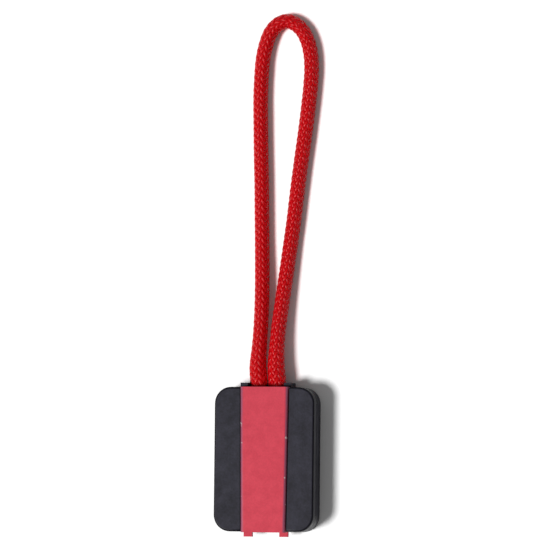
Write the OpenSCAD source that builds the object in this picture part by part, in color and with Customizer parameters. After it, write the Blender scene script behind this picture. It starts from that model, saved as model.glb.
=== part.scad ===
// Cord end for a zip slider: a loop of braided cord held by a two-shell body and a locking slide.
// The body lies on its back: +Z is the front face, +Y points along the loop, +X to the right.

/* [Body] */
// Width of the body
body_w = 15.4; // [15:0.2:18]
// Length of the body between its mouth and its foot
body_l = 21.8; // [21.8:0.2:26]
// Thickness of both shells together
body_t = 5; // [5:0.1:5.6]
// Radius of the body's four corners
corner_r = 2.5; // [1.6:0.1:2.8]
// Rounding of the outer edges
edge_r = 0.35; // [0.1:0.05:0.5]

/* [Mouth] */
// Width of the collar around the cord
collar_w = 7.8; // [7.2:0.1:9]
// How far the collar stands out of the mouth
collar_proud = 0.65; // [0.4:0.05:1]

/* [Locking slide] */
// Width of the cover strip at the mouth
strip_w = 7.4; // [7.2:0.1:7.6]
// Width of the cover strip at the foot
strip_foot_w = 6.9; // [6.9:0.1:7.2]
// How far the strip stands above the front face
strip_proud = 0.35; // [0.1:0.05:0.6]
// Rounding of the strip's long edges
strip_edge_r = 0.5; // [0.1:0.05:0.6]
// How far the slide runs out towards the loop
travel = 7; // [4:0.5:7]
// How far the two tips stand out of the foot
tip_proud = 0.75; // [0.4:0.05:1]

/* [Cord] */
// Diameter of the braided cord
cord_d = 2.3; // [2.1:0.05:2.3]

/* [Hidden] */
$fn = 48;
eps = 0.05;
clear = 0.1;

// Heights
part_z = body_t - 1.8;
plate_z = body_t - 0.85;
front_z = body_t + strip_proud;

// Ends of the body along Y
mouth_y = body_l / 2;
foot_y = -body_l / 2;
foot_wall = 1;

// Parting line and the pins that join the shells
part_c = 0.12;
pin_r = 0.6;
pin_h = 1;
pin_play = 0.02;
pin_x = body_w / 2 - 1.75;
pin_y = body_l / 2 - 2.7;

// Cored-out pockets that keep the walls of the wings even
core_w = 1.8;
core_l = 11;
core_floor = 1;
core_x = pin_x;

// Collar
collar_z0 = 0.7;
collar_z1 = plate_z - clear;
collar_slot_w = 5.6;

// Rails, flanges and tips of the slide
rail_x0 = 2.95;
rail_x1 = 3.45;
rail_z0 = part_z - 0.8;
rail_y0 = foot_y + foot_wall + 0.3;
rail_y1 = rail_y0 + 12.4;
flange_x1 = 4.1;
flange_z1 = part_z - clear;
tip_x0 = 2.1;
tip_x1 = 3.4;
tip_y0 = foot_y - tip_proud;
tip_y1 = rail_y0 + 0.3;

// Cover strip: its sides close in towards the foot
strip_foot = 0.1;
strip_play = 0.12;
strip_taper = atan((strip_w - strip_foot_w) / 2 / body_l);

// Cord channels in the rear shell
channel_play = 0.05;
channel_r = cord_d / 2 + channel_play;
cord_z = body_t / 2;
leg_mouth_x = 1.4;
leg_tail_x = 1.25;
tail_y = -1.5;
leg_out_y = mouth_y + collar_proud;
leg_run = leg_out_y - tail_y;
leg_angle = atan((leg_mouth_x - leg_tail_x) / leg_run);

// Teeth: rows on the slide's pad, and barbs across the floors of the channels
pad_x = 2.6;
pad_z = cord_z + cord_d / 2 + 0.35;
tooth_z = cord_z + cord_d / 2 + 0.05;
tooth_half_l = 0.35;
tooth_pitch = 1.05;
tooth_rows = 11;
tooth_y = mouth_y - 1.2;
barb_h = 0.3;
barb_l = 0.5;
barb_w = 1.2;
barb_root = 0.15;
barb_ys = [0.5, 3.5, 6.5, 9.5];

// The cord's route: one tail, out of the mouth, round the loop and back to the other tail
route = concat(
    [[-leg_tail_x, tail_y, cord_z]],
    [[-leg_mouth_x, leg_out_y, cord_z]],
    [
        [-1.60, 14.0, 2.40],
        [-1.45, 17.0, 2.25],
        [-1.30, 20.5, 1.95],
        [-1.25, 24.0, 1.65],
        [-1.30, 28.0, 1.40],
        [-1.40, 32.5, 1.20],
        [-1.50, 37.0, 1.15],
        [-1.60, 42.0, 1.15],
        [-1.75, 47.0, 1.15],
        [-1.85, 51.5, 1.15],
        [-1.90, 55.0, 1.15],
        [-1.80, 58.2, 1.15],
        [-1.60, 60.8, 1.15],
        [-1.10, 63.2, 1.15],
        [-0.30, 65.1, 1.15],
        [0.80, 66.2, 1.15],
        [2.05, 66.6, 1.15],
        [3.30, 66.2, 1.15],
        [4.50, 65.1, 1.15],
        [5.35, 63.4, 1.15],
        [5.80, 61.5, 1.15],
        [5.95, 59.3, 1.15],
        [5.85, 57.0, 1.15],
        [5.55, 53.8, 1.15],
        [5.05, 49.5, 1.15],
        [4.50, 45.3, 1.15],
        [3.95, 40.8, 1.15],
        [3.45, 36.3, 1.15],
        [2.90, 32.0, 1.20],
        [2.40, 28.0, 1.40],
        [1.90, 24.0, 1.65],
        [1.50, 20.5, 1.95],
        [1.25, 17.0, 2.25],
        [1.20, 14.0, 2.40]
    ],
    [[leg_mouth_x, leg_out_y, cord_z]],
    [[leg_tail_x, tail_y, cord_z]]
);
cord_sides = 8;

// A wall's section, h high: a rounded outer edge below, a small chamfer at the parting line above
module wall_section(reach, h) {
    polygon([
        [0, 0],
        [reach - edge_r, 0],
        [reach, edge_r],
        [reach, h - part_c],
        [reach - part_c, h],
        [0, h]
    ]);
    translate([reach - edge_r, edge_r]) circle(edge_r);
}

module full_section(reach, h) {
    wall_section(reach, h);
    mirror([1, 0]) wall_section(reach, h);
}

// A rounded rectangle of the body's outline, h high, standing on its rounded face
module plate(h) {
    corner_x = body_w / 2 - corner_r;
    corner_y = body_l / 2 - corner_r;
    for (x = [-corner_x, corner_x], y = [-corner_y, corner_y])
        translate([x, y, 0]) rotate_extrude() wall_section(corner_r, h);
    rotate([90, 0, 0]) linear_extrude(2 * corner_y, center = true) full_section(body_w / 2, h);
    rotate([90, 0, 90]) linear_extrude(2 * corner_x, center = true) full_section(body_l / 2, h);
}

// A box given by its lowest and highest corners
module box(low, high) {
    translate(low) cube(high - low);
}

// The same shape on both sides of the middle plane
module both_sides() {
    children();
    mirror([1, 0, 0]) children();
}

module at_pins() {
    for (x = [-pin_x, pin_x], y = [-pin_y, pin_y])
        translate([x, y, 0]) children();
}

// Half the width that the strip fills at y
function strip_reach(y) = strip_w / 2 - (mouth_y - y) * tan(strip_taper);

// Channel for one leg, open towards the front, from its tail to past the collar
module channel() {
    translate([leg_tail_x, tail_y - channel_play, cord_z])
        rotate([90, 0, 180 - leg_angle])
            linear_extrude(leg_run + 1) {
                circle(channel_r);
                translate([-channel_r, 0]) square([2 * channel_r, body_t]);
            }
}

// A ridge across one channel's floor, steep on its tail side, which bites into a cord pulled out
module barb(y) {
    x = leg_tail_x + (y - tail_y) * tan(leg_angle);
    floor_z = cord_z - channel_r;
    translate([x + barb_w / 2, y, floor_z - barb_root])
        rotate([90, 0, -90])
            linear_extrude(barb_w)
                polygon([[0, 0], [0, barb_h + barb_root], [-barb_l, 0]]);
}

module collar() {
    difference() {
        box([-collar_w / 2, mouth_y - 0.4, collar_z0], [collar_w / 2, leg_out_y, collar_z1]);
        box([-collar_w, mouth_y - 1, part_z], [collar_w, mouth_y, body_t]);
        box([-collar_slot_w / 2, mouth_y - 1, cord_z], [collar_slot_w / 2, leg_out_y + 1, body_t]);
    }
}

// Back of the body: the channels, the slide's grooves, the foot windows and the pins
module rear_shell() {
    groove_z0 = rail_z0 - clear;
    groove_z1 = part_z + eps;
    color("#2f2e33") {
        difference() {
            union() {
                plate(part_z);
                collar();
                at_pins() cylinder(r = pin_r, h = part_z + pin_h);
            }
            both_sides() {
                channel();
                box([rail_x0 - clear, foot_y + foot_wall, groove_z0],
                    [flange_x1 + clear, rail_y1 + travel + clear, groove_z1]);
                box([tip_x0 - clear, foot_y - 1, groove_z0],
                    [tip_x1 + clear, tip_y1 + travel + clear, groove_z1]);
                box([core_x - core_w / 2, -core_l / 2, core_floor],
                    [core_x + core_w / 2, core_l / 2, groove_z1]);
            }
            box([-leg_tail_x, tail_y - channel_play, cord_z], [leg_tail_x, leg_out_y + 1, body_t]);
        }
        both_sides() for (y = barb_ys) barb(y);
    }
}

// Slot in the front face for the strip, with the strip's own taper
module strip_slot() {
    mouth_x = strip_reach(mouth_y + 1) + strip_play;
    foot_x = strip_reach(foot_y - 1) + strip_play;
    translate([0, 0, plate_z - clear])
        linear_extrude(body_t)
            polygon([
                [-mouth_x, mouth_y + 1],
                [mouth_x, mouth_y + 1],
                [foot_x, foot_y - 1],
                [-foot_x, foot_y - 1]
            ]);
}

// Front of the body: two wings joined by a bridge at the foot, open along the strip
module front_shell() {
    inner_x = rail_x1 + clear;
    color("#36353a") difference() {
        translate([0, 0, body_t]) mirror([0, 0, 1]) plate(body_t - part_z);
        strip_slot();
        box([-inner_x, foot_y + foot_wall, part_z - eps], [inner_x, mouth_y + 1, plate_z]);
        both_sides() box([core_x - core_w / 2, -core_l / 2, part_z - eps],
            [core_x + core_w / 2, core_l / 2, body_t - core_floor]);
        at_pins() translate([0, 0, part_z - eps]) cylinder(r = pin_r + pin_play, h = pin_h + 0.15);
    }
}

// Section of the strip left of its right edge, with that edge rounded
module strip_section() {
    polygon([
        [-strip_w, plate_z],
        [0, plate_z],
        [0, front_z - strip_edge_r],
        [-strip_edge_r, front_z],
        [-strip_w, front_z]
    ]);
    translate([-strip_edge_r, front_z - strip_edge_r]) circle(strip_edge_r);
}

// The strip's section drawn along its right side, past both ends
module strip_side() {
    translate([strip_w / 2, mouth_y, 0])
        rotate([90, 0, -strip_taper])
            translate([0, 0, -1])
                linear_extrude(body_l + 2) strip_section();
}

module strip() {
    intersection() {
        strip_side();
        mirror([1, 0, 0]) strip_side();
        box([-strip_w, foot_y - strip_foot, 0], [strip_w, mouth_y, body_t + 1]);
    }
}

// One row of teeth under the pad, pointing down at both legs
module tooth_row(y) {
    translate([pad_x, y, pad_z + eps])
        rotate([90, 0, -90])
            linear_extrude(2 * pad_x)
                polygon([[-tooth_half_l, 0], [tooth_half_l, 0], [0, tooth_z - pad_z - eps]]);
}

// The slide: a cover strip with a toothed pad, and on each side a rail with a flange and a tip
module locking_slide() {
    color("#c83c50") {
        strip();
        box([-pad_x, tail_y, pad_z], [pad_x, mouth_y, plate_z + eps]);
        for (i = [0 : tooth_rows - 1]) tooth_row(tooth_y - i * tooth_pitch);
        both_sides() {
            box([rail_x0, rail_y0, rail_z0], [rail_x1, rail_y1, plate_z + eps]);
            box([rail_x1 - eps, rail_y0, rail_z0], [flange_x1, rail_y1, flange_z1]);
            box([tip_x0, tip_y0, rail_z0], [tip_x1, tip_y1, flange_z1]);
        }
    }
}

function unit(v) = v / norm(v);

// Direction of the route at point i, from its two neighbours
function heading(path, i) =
    unit(path[min(i + 1, len(path) - 1)] - path[max(i - 1, 0)]);

// One ring of the tube, with a flat below
function ring(path, i, r) =
    let (
        ahead = heading(path, i),
        side = unit(cross(ahead, [0, 0, 1])),
        up = cross(side, ahead)
    )
    [for (k = [0 : cord_sides - 1])
        let (a = 360 * (k + 0.5) / cord_sides)
        path[i] + r * (cos(a) * side + sin(a) * up)];

module tube(path, r) {
    n = cord_sides;
    last = len(path) - 1;
    points = [for (i = [0 : last]) each ring(path, i, r)];
    walls = [for (i = [0 : last - 1], k = [0 : n - 1])
        let (a = i * n + k, b = i * n + (k + 1) % n)
        each [[a, b, b + n], [a, b + n, a + n]]];
    first_cap = [for (k = [n - 1 : -1 : 0]) k];
    last_cap = [for (k = [0 : n - 1]) last * n + k];
    polyhedron(points, concat(walls, [first_cap], [last_cap]));
}

// One length of braided cord, both tails held in the body
module cord() {
    color("#b81018") tube(route, cord_d / 2);
}

rear_shell();
front_shell();
locking_slide();
cord();
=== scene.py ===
"""Looks of the zip puller: braided cord, moulded shells, rose-red locking slide."""

import math

import bpy
import numpy as np
from mathutils import Matrix, Vector


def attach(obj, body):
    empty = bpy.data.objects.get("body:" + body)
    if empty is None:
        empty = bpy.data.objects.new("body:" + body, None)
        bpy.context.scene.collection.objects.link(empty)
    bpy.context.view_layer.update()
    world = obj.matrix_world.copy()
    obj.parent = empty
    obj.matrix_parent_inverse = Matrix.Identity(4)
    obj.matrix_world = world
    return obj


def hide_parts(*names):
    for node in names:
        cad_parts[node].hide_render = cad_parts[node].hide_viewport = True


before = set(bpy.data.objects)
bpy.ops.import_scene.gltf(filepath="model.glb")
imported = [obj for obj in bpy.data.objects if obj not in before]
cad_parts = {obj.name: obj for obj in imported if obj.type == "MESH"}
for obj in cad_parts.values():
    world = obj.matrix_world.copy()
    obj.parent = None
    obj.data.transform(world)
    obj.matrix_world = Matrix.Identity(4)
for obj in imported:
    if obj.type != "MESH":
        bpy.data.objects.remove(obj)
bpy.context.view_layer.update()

MM = 0.001
scene = bpy.context.scene


# ---------------------------------------------------------------- camera

# The camera stands almost over the puller, leaning to its right and a little to its foot.
AIM = Vector((0.9, 27.9, 2.5)) * MM
LEAN_RIGHT = math.radians(12)
LEAN_FOOT = math.radians(3.3)
ROLL = math.radians(0.6)
CAMERA_AWAY = 700 * MM
VIEW_WIDTH = 83.2 * MM

# The sensor is in millimetres, as Blender has it, and the clip distances are in metres.
SENSOR_WIDTH = 36.0
CLIP_NEAR = 0.01
CLIP_FAR = 20.0


def make_camera():
    data = bpy.data.cameras.new("camera")
    data.sensor_width = SENSOR_WIDTH
    data.lens = SENSOR_WIDTH * CAMERA_AWAY / VIEW_WIDTH
    data.clip_start, data.clip_end = CLIP_NEAR, CLIP_FAR
    cam = bpy.data.objects.new("camera", data)
    scene.collection.objects.link(cam)
    back = Vector((math.tan(LEAN_RIGHT), -math.tan(LEAN_FOOT), 1.0)).normalized()
    level = Vector((0, 1, 0)).cross(back).normalized()
    upright = back.cross(level)
    right = level * math.cos(ROLL) + upright * math.sin(ROLL)
    up = back.cross(right)
    cam.location = AIM + back * CAMERA_AWAY
    cam.rotation_mode = "QUATERNION"
    cam.rotation_quaternion = Matrix((right, up, back)).transposed().to_quaternion()
    scene.camera = cam


# ---------------------------------------------------------------- material helpers

# How deep the finest surface detail is, on plastic and on nylon alike.
BUMP_DEPTH = 0.02 * MM


def new_material(name):
    mat = bpy.data.materials.new(name)
    mat.use_nodes = True
    tree = mat.node_tree
    shader = tree.nodes["Principled BSDF"]
    return mat, tree, shader


def add(tree, kind, **inputs):
    """A new node. An input's name has _ where the socket's name has a space."""
    node = tree.nodes.new(kind)
    for key, value in inputs.items():
        node.inputs[key.replace("_", " ")].default_value = value
    return node


def link(tree, source, target):
    tree.links.new(source, target)


def calculate(tree, operation, first, second=0.0):
    """A Math node on two sockets or numbers; returns its output."""
    node = add(tree, "ShaderNodeMath")
    node.operation = operation
    for socket, value in zip(node.inputs, (first, second)):
        if isinstance(value, (int, float)):
            socket.default_value = value
        else:
            link(tree, value, socket)
    return node.outputs["Value"]


def remap(tree, value, from_range, to_range=(0, 1)):
    """A clamped Map Range node; returns its output."""
    node = add(tree, "ShaderNodeMapRange")
    node.inputs["From Min"].default_value, node.inputs["From Max"].default_value = from_range
    node.inputs["To Min"].default_value, node.inputs["To Max"].default_value = to_range
    link(tree, value, node.inputs["Value"])
    return node.outputs["Result"]


def separate(tree, vector):
    """The X, Y and Z of a vector, as three outputs."""
    node = add(tree, "ShaderNodeSeparateXYZ")
    link(tree, vector, node.inputs["Vector"])
    return node.outputs


def noise(tree, coords, scale, detail):
    node = add(tree, "ShaderNodeTexNoise", Scale=scale, Detail=detail)
    link(tree, coords, node.inputs["Vector"])
    return node.outputs["Fac"]


def tinted(tree, share, below, above):
    """A colour between below and above, each a colour or a socket; returns its output."""
    node = add(tree, "ShaderNodeMix")
    node.data_type = "RGBA"
    for name, value in (("A", below), ("B", above)):
        if isinstance(value, tuple):
            node.inputs[name].default_value = (*value, 1)
        else:
            link(tree, value, node.inputs[name])
    link(tree, share, node.inputs["Factor"])
    return node.outputs["Result"]


def roughen(tree, shader, height, strength):
    """Bends the shader's normals by a height."""
    bump = add(tree, "ShaderNodeBump", Strength=strength, Distance=BUMP_DEPTH)
    link(tree, height, bump.inputs["Height"])
    link(tree, bump.outputs["Normal"], shader.inputs["Normal"])


# ---------------------------------------------------------------- the cord's route

# The cord's lengths are in millimetres until its mesh is made.
CORD_D = 2.3
LEG_MOUTH_X = 1.4
LEG_TAIL_X = 1.25
TAIL_Y = -1.5
LEG_OUT_Y = 11.55
CORD_Z = 2.5
ROUTE = [
    (-LEG_TAIL_X, TAIL_Y, CORD_Z),
    (-LEG_MOUTH_X, LEG_OUT_Y, CORD_Z),
    (-1.60, 14.0, 2.40),
    (-1.45, 17.0, 2.25),
    (-1.30, 20.5, 1.95),
    (-1.25, 24.0, 1.65),
    (-1.30, 28.0, 1.40),
    (-1.40, 32.5, 1.20),
    (-1.50, 37.0, 1.15),
    (-1.60, 42.0, 1.15),
    (-1.75, 47.0, 1.15),
    (-1.85, 51.5, 1.15),
    (-1.90, 55.0, 1.15),
    (-1.80, 58.2, 1.15),
    (-1.60, 60.8, 1.15),
    (-1.10, 63.2, 1.15),
    (-0.30, 65.1, 1.15),
    (0.80, 66.2, 1.15),
    (2.05, 66.6, 1.15),
    (3.30, 66.2, 1.15),
    (4.50, 65.1, 1.15),
    (5.35, 63.4, 1.15),
    (5.80, 61.5, 1.15),
    (5.95, 59.3, 1.15),
    (5.85, 57.0, 1.15),
    (5.55, 53.8, 1.15),
    (5.05, 49.5, 1.15),
    (4.50, 45.3, 1.15),
    (3.95, 40.8, 1.15),
    (3.45, 36.3, 1.15),
    (2.90, 32.0, 1.20),
    (2.40, 28.0, 1.40),
    (1.90, 24.0, 1.65),
    (1.50, 20.5, 1.95),
    (1.25, 17.0, 2.25),
    (1.20, 14.0, 2.40),
    (LEG_MOUTH_X, LEG_OUT_Y, CORD_Z),
    (LEG_TAIL_X, TAIL_Y, CORD_Z),
]

STEPS_PER_SPAN = 60
LINE_SPACING = 0.1

# Just outside the mouth the squeezed cord swells sideways and flattens a little.
SWELL = 0.2
FLATTEN = 0.05
SWELL_STARTS = (-0.7, -0.1)
SWELL_FADES = (0.6, 7.0)


def smooth_step(x, low, high):
    t = np.clip((x - low) / (high - low), 0, 1)
    return t * t * (3 - 2 * t)


def smooth_route(points, spacing):
    """Points every spacing along a Catmull-Rom curve through the route, and their distances along."""
    p = np.array(points)
    p = np.vstack([2 * p[0] - p[1], p, 2 * p[-1] - p[-2]])
    dense = []
    for i in range(1, len(p) - 2):
        p0, p1, p2, p3 = p[i - 1 : i + 3]
        t0, t1 = 0.0, np.linalg.norm(p1 - p0) ** 0.5
        t2 = t1 + np.linalg.norm(p2 - p1) ** 0.5
        t3 = t2 + np.linalg.norm(p3 - p2) ** 0.5
        for t in np.linspace(t1, t2, STEPS_PER_SPAN, endpoint=False):
            a1 = (t1 - t) / (t1 - t0) * p0 + (t - t0) / (t1 - t0) * p1
            a2 = (t2 - t) / (t2 - t1) * p1 + (t - t1) / (t2 - t1) * p2
            a3 = (t3 - t) / (t3 - t2) * p2 + (t - t2) / (t3 - t2) * p3
            b1 = (t2 - t) / (t2 - t0) * a1 + (t - t0) / (t2 - t0) * a2
            b2 = (t3 - t) / (t3 - t1) * a2 + (t - t1) / (t3 - t1) * a3
            dense.append((t2 - t) / (t2 - t1) * b1 + (t - t1) / (t2 - t1) * b2)
    dense.append(p[-2])
    dense = np.array(dense)
    run = np.concatenate([[0], np.cumsum(np.linalg.norm(np.diff(dense, axis=0), axis=1))])
    n = int(run[-1] / spacing) + 1
    at = np.linspace(0, run[-1], n)
    return np.column_stack([np.interp(at, run, dense[:, k]) for k in range(3)]), at


class Line:
    """The cord's centreline with a frame that never twists about it."""

    def __init__(self, points):
        self.xyz, self.at = smooth_route(points, LINE_SPACING)
        ahead = np.gradient(self.xyz, axis=0)
        ahead /= np.linalg.norm(ahead, axis=1)[:, None]
        side = np.cross(ahead, [0, 0, 1.0])
        side /= np.linalg.norm(side, axis=1)[:, None]
        self.side = side
        self.up = np.cross(side, ahead)
        self.length = self.at[-1]
        self.leg_in_body = math.dist(points[0], points[1])

    def swell(self, s):
        """From 0 along the free cord and deep in the body to 1 just outside the mouth."""
        out = np.minimum(s, self.length - s) - self.leg_in_body
        return smooth_step(out, *SWELL_STARTS) * (1 - smooth_step(out, *SWELL_FADES))

    def place(self, s, angle, r):
        """Points at distance s along, at an angle round, r out from the centreline."""
        s = np.clip(s, 0, self.length)
        centre, side, up = (
            np.column_stack([np.interp(s, self.at, a[:, k]) for k in range(3)])
            for a in (self.xyz, self.side, self.up)
        )
        swell = self.swell(s)
        across = r * np.cos(angle) * (1 + SWELL * swell)
        above = r * np.sin(angle) * (1 - FLATTEN * swell)
        return centre + across[:, None] * side + above[:, None] * up


# ---------------------------------------------------------------- the cord's braid

# A 24-carrier cover, 12 yarns each way, each over two and under two of the others.
CARRIERS = 12
LAY = 11.8
YARN_WIDTH = 0.5
YARN_THICK = 0.18
YARN_SWING = 0.08
STEPS_PER_TURN = 54
YARN_SIDES = 6

# How squarely a yarn steps over and under, and how much wider it lies when it is on top.
STEP_SHARPNESS = 1.5
WIDER_ON_TOP = 0.06

# Unevenness. Each pair is the range of a random draw, and waves are in millimetres to the radian.
DRIFT_ANGLE = 0.02
DRIFT_WAVE = (2.5, 5)
SWING_SHARE = (0.9, 1)
FULLNESS = (0.96, 1.04)
FULLNESS_SWAY = 0.03
FULLNESS_WAVE = (1, 2)
ANY_PHASE = (0, 6)
BRAID_SEED = 5

CORE_R = 0.94
CORE_SIDES = 12
CORE_SPACING = 0.7

# Filaments across a yarn and how often they change along it, in the yarn's own UVs. The noise that
# draws them goes from the dark colour to the bright one between two of its values.
YARN_UV = "yarn"
FILAMENTS = (20.0, 0.9, 1.0)
FILAMENT_NOISE = (1.0, 2.0)
DARK_UNTIL = 0.3
BRIGHT_FROM = 0.7
DARK_RED = (0.37, 0.0003, 0.001, 1)
BRIGHT_RED = (0.54, 0.004, 0.009, 1)

# The share of the lamp's light that passes each surface of a yarn.
LET_THROUGH = (0.86, 0.6, 0.6, 1)


def tube_faces(rings, sides, first):
    """Faces of a closed tube whose rings of vertices start at index first."""
    faces = []
    for i in range(rings - 1):
        for k in range(sides):
            a = first + i * sides + k
            b = first + i * sides + (k + 1) % sides
            faces.append((a, b, b + sides, a + sides))
    faces.append(tuple(first + k for k in reversed(range(sides))))
    faces.append(tuple(first + (rings - 1) * sides + k for k in range(sides)))
    return faces


def yarn(line, number, way, rng):
    """One yarn's vertices, UVs and count of rings. way is 1 or -1, the direction it winds."""
    steps = int(line.length / LAY * STEPS_PER_TURN)
    s = np.linspace(0, line.length, steps)
    drift = DRIFT_ANGLE * np.sin(s / rng.uniform(*DRIFT_WAVE) + rng.uniform(*ANY_PHASE))
    angle = 2 * math.pi * (number / CARRIERS + way * s / LAY)

    # The yarns of the other way are crossed one after another, and four crossings make one wave.
    crossing = angle * CARRIERS / math.pi
    wave = way * np.cos(math.pi / 2 * (crossing - 0.5))
    lift = np.tanh(STEP_SHARPNESS * wave) / math.tanh(STEP_SHARPNESS)
    mid_r = CORD_D / 2 - YARN_SWING - YARN_THICK / 2
    r = mid_r + YARN_SWING * lift * rng.uniform(*SWING_SHARE)
    slope = math.atan(2 * math.pi * mid_r / LAY)

    fullness = rng.uniform(*FULLNESS)
    fullness = fullness + FULLNESS_SWAY * np.sin(s / rng.uniform(*FULLNESS_WAVE) + rng.uniform(*ANY_PHASE))
    width = YARN_WIDTH * fullness * (1 + WIDER_ON_TOP * lift)
    verts = np.zeros((steps, YARN_SIDES, 3))
    uvs = np.zeros((steps, YARN_SIDES, 2))
    for k in range(YARN_SIDES):
        a = 2 * math.pi * (k + 0.5) / YARN_SIDES
        across = math.cos(a) * width / 2 / math.cos(math.pi / YARN_SIDES)
        out = math.sin(a) * YARN_THICK / 2
        ds = -way * across * math.sin(slope)
        dangle = across * math.cos(slope) / r
        verts[:, k] = line.place(s + ds, angle + drift + dangle, r + out)
        uvs[:, k, 0] = math.cos(a) / 2 + 0.5
        uvs[:, k, 1] = s + number
    return verts.reshape(-1, 3), uvs.reshape(-1, 2), steps


def core(line):
    """Vertices of the plain core that fills the braid, and its count of rings."""
    rings = int(line.length / CORE_SPACING)
    s = np.linspace(0, line.length, rings)
    out = np.full_like(s, CORE_R)
    angles = [2 * math.pi * k / CORE_SIDES for k in range(CORE_SIDES)]
    runs = [line.place(s, np.full_like(s, angle), out) for angle in angles]
    return np.stack(runs, axis=1).reshape(-1, 3), rings


def cord_material():
    """Nylon filaments along each yarn, darker between them."""
    mat, tree, shader = new_material("red_braid")
    shader.inputs["Roughness"].default_value = 0.33
    shader.inputs["Specular IOR Level"].default_value = 0.13
    shader.inputs["Subsurface Weight"].default_value = 0.6
    shader.inputs["Subsurface Radius"].default_value = (1.0, 0.06, 0.06)
    shader.inputs["Subsurface Scale"].default_value = 1.2 * MM
    uv = add(tree, "ShaderNodeUVMap")
    uv.uv_map = YARN_UV
    stretch = add(tree, "ShaderNodeMapping", Scale=FILAMENTS)
    link(tree, uv.outputs["UV"], stretch.inputs["Vector"])
    strands = noise(tree, stretch.outputs["Vector"], *FILAMENT_NOISE)
    roughen(tree, shader, strands, strength=0.5)
    tint = add(tree, "ShaderNodeValToRGB")
    low, high = tint.color_ramp.elements
    low.position, low.color = DARK_UNTIL, DARK_RED
    high.position, high.color = BRIGHT_FROM, BRIGHT_RED
    link(tree, strands, tint.inputs["Fac"])
    link(tree, tint.outputs["Color"], shader.inputs["Base Color"])

    # Thin nylon lets some of the lamp's light through, so its shadow has a reddish edge.
    through = add(tree, "ShaderNodeBsdfTransparent", Color=LET_THROUGH)
    path = add(tree, "ShaderNodeLightPath")
    blend = add(tree, "ShaderNodeMixShader")
    link(tree, path.outputs["Is Shadow Ray"], blend.inputs["Fac"])
    link(tree, shader.outputs["BSDF"], blend.inputs[1])
    link(tree, through.outputs["BSDF"], blend.inputs[2])
    link(tree, blend.outputs["Shader"], tree.nodes["Material Output"].inputs["Surface"])
    return mat


def braid_mesh(line):
    """All the yarns round the core, as one mesh in metres."""
    rng = np.random.default_rng(BRAID_SEED)
    verts, uvs, faces = [], [], []
    count = 0
    for way in (1, -1):
        for number in range(CARRIERS):
            yarn_verts, yarn_uvs, rings = yarn(line, number, way, rng)
            verts.append(yarn_verts)
            uvs.append(yarn_uvs)
            faces += tube_faces(rings, YARN_SIDES, count)
            count += len(yarn_verts)
    core_verts, rings = core(line)
    verts.append(core_verts)
    uvs.append(np.zeros((len(core_verts), 2)))
    faces += tube_faces(rings, CORE_SIDES, count)

    mesh = bpy.data.meshes.new("braided_cord")
    mesh.from_pydata((np.vstack(verts) * MM).tolist(), [], faces)
    layer = mesh.uv_layers.new(name=YARN_UV)
    corner = np.empty(len(mesh.loops), dtype=np.int32)
    mesh.loops.foreach_get("vertex_index", corner)
    layer.data.foreach_set("uv", np.vstack(uvs)[corner].ravel())
    mesh.polygons.foreach_set("use_smooth", [True] * len(mesh.polygons))
    return mesh


def make_cord():
    line = Line(ROUTE)
    mesh = braid_mesh(line)
    mesh.materials.append(cord_material())
    obj = bpy.data.objects.new("braided_cord", mesh)
    scene.collection.objects.link(obj)
    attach(obj, "housing")
    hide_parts("cord")


# ---------------------------------------------------------------- moulded parts

# Each plastic: its colour, its rims' painted colour (shade on the black, reflection on the rose), its
# scuffs, and how much its grain varies the colour.
BLACK = (0.0098, 0.009, 0.0174)
# Painted shade: the black's rims are darkened towards black all round.
BLACK_PAINTED_RIM_SHADE = (0.002, 0.002, 0.004)
BLACK_SCUFFED = (0.09, 0.08, 0.09)
BLACK_CONTRAST = 0.4
ROSE = (0.49, 0.032, 0.057)
# Painted reflection: the rose's rims are paled to a greyish mauve.
ROSE_PAINTED_RIM_REFLECTION = (0.25, 0.07, 0.115)
ROSE_SCUFFED = (0.5, 0.38, 0.38)
ROSE_CONTRAST = 0.09

# Noise patterns: cells to the metre, and how many finer layers each holds.
MOTTLE = (700.0, 4.0)
SCUFFS = (1300.0, 1.0)
SPECKLE = (3500.0, 2.0)
GRAIN = (5500.0, 3.0)

# Where a rounded rim starts and is full, and where the scuff noise starts to show and shows fully.
RIM = (0.005, 0.08)
SCUFF_SPOTS = (0.73, 0.76)

# The rims' painted colour covers them by the shares in the second range, as the mottling runs through the
# first; the same shares make the rims glossier.
RIM_PAINT_MOTTLE = (0.2, 0.55)
RIM_PAINT_SHARE = (0.6, 1)

# The sum of noises over which the colour goes from dark to pale, and the sum over which roughness falls.
COLOUR_SPREAD = (0.7, 1.3)
GLOSS_SPREAD = (0.3, 1.5)
ROUGHNESS = (0.58, 0.32)

# The ejector marks: their places and radius. Each pair is where they have faded out and where they are
# full, by distance from that radius and by height above the back.
MARK_X = 4.6 * MM
MARK_Y = 7.2 * MM
MARK_R = 0.9 * MM
MARK_LINE = (0.12 * MM, 0.02 * MM)
MARK_LAYER = (0.4 * MM, 0.2 * MM)

# The fine rounding of the moulded edges, on edges sharper than EDGE_ANGLE.
WELD_WITHIN = 0.002 * MM
ROUND_WIDTH = 0.08 * MM
ROUND_STEPS = 3
EDGE_ANGLE = math.radians(35)


def ejector_marks(tree, coords):
    """Four shallow rings on the back, where the mould's pins pushed the shell out."""
    at = separate(tree, coords)
    x = calculate(tree, "SUBTRACT", calculate(tree, "ABSOLUTE", at["X"]), MARK_X)
    y = calculate(tree, "SUBTRACT", calculate(tree, "ABSOLUTE", at["Y"]), MARK_Y)
    squares = calculate(tree, "ADD", calculate(tree, "MULTIPLY", x, x), calculate(tree, "MULTIPLY", y, y))
    away = calculate(tree, "SUBTRACT", calculate(tree, "SQRT", squares), MARK_R)
    ring = remap(tree, calculate(tree, "ABSOLUTE", away), MARK_LINE)
    return calculate(tree, "MULTIPLY", ring, remap(tree, at["Z"], MARK_LAYER))


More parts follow.
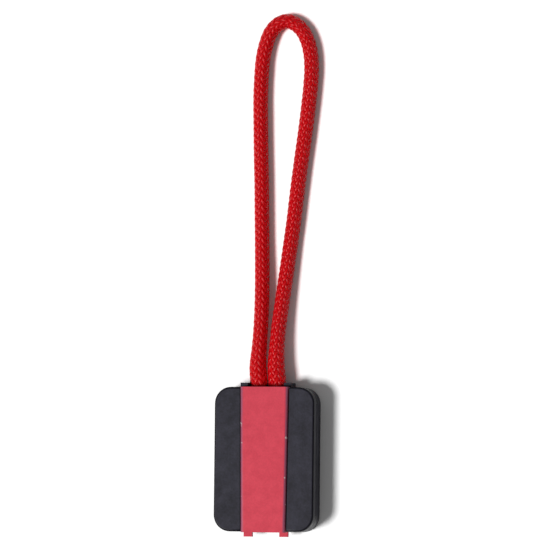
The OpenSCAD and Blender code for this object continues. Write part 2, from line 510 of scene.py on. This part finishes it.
def plastic(name, colour, painted_rim_colour, scuffed, contrast):
    """Spark-eroded grain and slow mottling. Rims get a painted colour, painted shade on the black and a
    painted reflection on the rose, turn glossier, and are scuffed in a few spots.
    """
    mat, tree, shader = new_material(name)
    shader.inputs["Specular IOR Level"].default_value = 0.17
    place = add(tree, "ShaderNodeTexCoord")
    coords = place.outputs["Object"]
    mottle = noise(tree, coords, *MOTTLE)
    speckle = noise(tree, coords, *SPECKLE)
    height = calculate(tree, "SUBTRACT", noise(tree, coords, *GRAIN), ejector_marks(tree, coords))
    roughen(tree, shader, height, strength=0.6)

    # A face that looks neither straight up nor down nor sideways belongs to a rounded rim.
    level = calculate(tree, "ABSOLUTE", separate(tree, place.outputs["Normal"])["Z"])
    turned = calculate(tree, "MULTIPLY", level, calculate(tree, "SUBTRACT", 1.0, level))
    rim = remap(tree, turned, RIM)
    # Painted light on the rims: their colour goes towards the painted rim colour given for this plastic,
    # and they turn glossier.
    rim_paint_and_gloss = calculate(tree, "MULTIPLY", rim, remap(tree, mottle, RIM_PAINT_MOTTLE, RIM_PAINT_SHARE))
    spots = remap(tree, noise(tree, coords, *SCUFFS), SCUFF_SPOTS)
    scuff = calculate(tree, "MULTIPLY", rim, spots)

    variation = remap(tree, calculate(tree, "ADD", mottle, speckle), COLOUR_SPREAD)
    dark = tuple((1 - contrast) * c for c in colour)
    pale = tuple((1 + contrast) * c for c in colour)
    base = tinted(tree, rim_paint_and_gloss, tinted(tree, variation, dark, pale), painted_rim_colour)
    link(tree, tinted(tree, scuff, base, scuffed), shader.inputs["Base Color"])
    roughness = remap(tree, calculate(tree, "ADD", mottle, rim_paint_and_gloss), GLOSS_SPREAD, ROUGHNESS)
    link(tree, roughness, shader.inputs["Roughness"])
    return mat


def finish_node(name, mat):
    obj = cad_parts[name]
    obj.data.materials.clear()
    obj.data.materials.append(mat)
    weld = obj.modifiers.new("weld", "WELD")
    weld.merge_threshold = WELD_WITHIN
    bevel = obj.modifiers.new("bevel", "BEVEL")
    bevel.width = ROUND_WIDTH
    bevel.segments = ROUND_STEPS
    bevel.limit_method = "ANGLE"
    bevel.angle_limit = EDGE_ANGLE
    bevel.harden_normals = True


def finish_moulded_parts():
    black = plastic("charcoal_plastic", BLACK, BLACK_PAINTED_RIM_SHADE, BLACK_SCUFFED, BLACK_CONTRAST)
    rose = plastic("rose_plastic", ROSE, ROSE_PAINTED_RIM_REFLECTION, ROSE_SCUFFED, ROSE_CONTRAST)
    finish_node("rear_shell", black)
    finish_node("front_shell", black)
    finish_node("locking_slide", rose)


# ---------------------------------------------------------------- stage and light

# The floor is 4 m across and lies just under the puller.
FLOOR_HALF = 2.0
FLOOR_DROP = 0.02 * MM
PAPER = (0.9, 0.9, 0.9, 1)

# The sky's strength near the horizon and overhead, and the rise over which it changes.
SKY_LOW = 0.15
SKY_HIGH = 0.32
SKY_RISE = (0.45, 0.95)

KEY_TOWARDS = Vector((-2.63, -1.23, 5.0)).normalized()
KEY_ANGLE = math.radians(15)
KEY_ENERGY = 3.65


def make_floor():
    corners = [(x * FLOOR_HALF, y * FLOOR_HALF, 0) for x, y in ((-1, -1), (1, -1), (1, 1), (-1, 1))]
    mesh = bpy.data.meshes.new("floor")
    mesh.from_pydata(corners, [], [(0, 1, 2, 3)])
    mat, _, shader = new_material("white_paper")
    shader.inputs["Base Color"].default_value = PAPER
    shader.inputs["Roughness"].default_value = 0.9
    mesh.materials.append(mat)
    floor = bpy.data.objects.new("floor", mesh)
    floor.location.z = -FLOOR_DROP
    scene.collection.objects.link(floor)


def make_world():
    """Pale light from overhead, darker towards the horizon; the camera itself sees white."""
    world = bpy.data.worlds.new("world")
    world.use_nodes = True
    tree = world.node_tree
    background = tree.nodes["Background"]
    background.inputs["Color"].default_value = (1, 1, 1, 1)
    coords = add(tree, "ShaderNodeTexCoord")
    height = separate(tree, coords.outputs["Generated"])["Z"]
    path = add(tree, "ShaderNodeLightPath")
    seen = add(tree, "ShaderNodeMix")
    link(tree, path.outputs["Is Camera Ray"], seen.inputs["Factor"])
    link(tree, remap(tree, height, SKY_RISE, (SKY_LOW, SKY_HIGH)), seen.inputs["A"])
    seen.inputs["B"].default_value = 1.0
    link(tree, seen.outputs["Result"], background.inputs["Strength"])
    scene.world = world


def make_key():
    """A broad, distant lamp to the left and a little towards the foot."""
    data = bpy.data.lights.new("key", "SUN")
    data.angle = KEY_ANGLE
    data.energy = KEY_ENERGY
    key = bpy.data.objects.new("key", data)
    scene.collection.objects.link(key)
    key.rotation_mode = "QUATERNION"
    key.rotation_quaternion = KEY_TOWARDS.to_track_quat("Z", "Y")


# ---------------------------------------------------------------- the whole scene

make_camera()
make_cord()
finish_moulded_parts()
make_floor()
make_world()
make_key()
scene.view_settings.view_transform = "Standard"
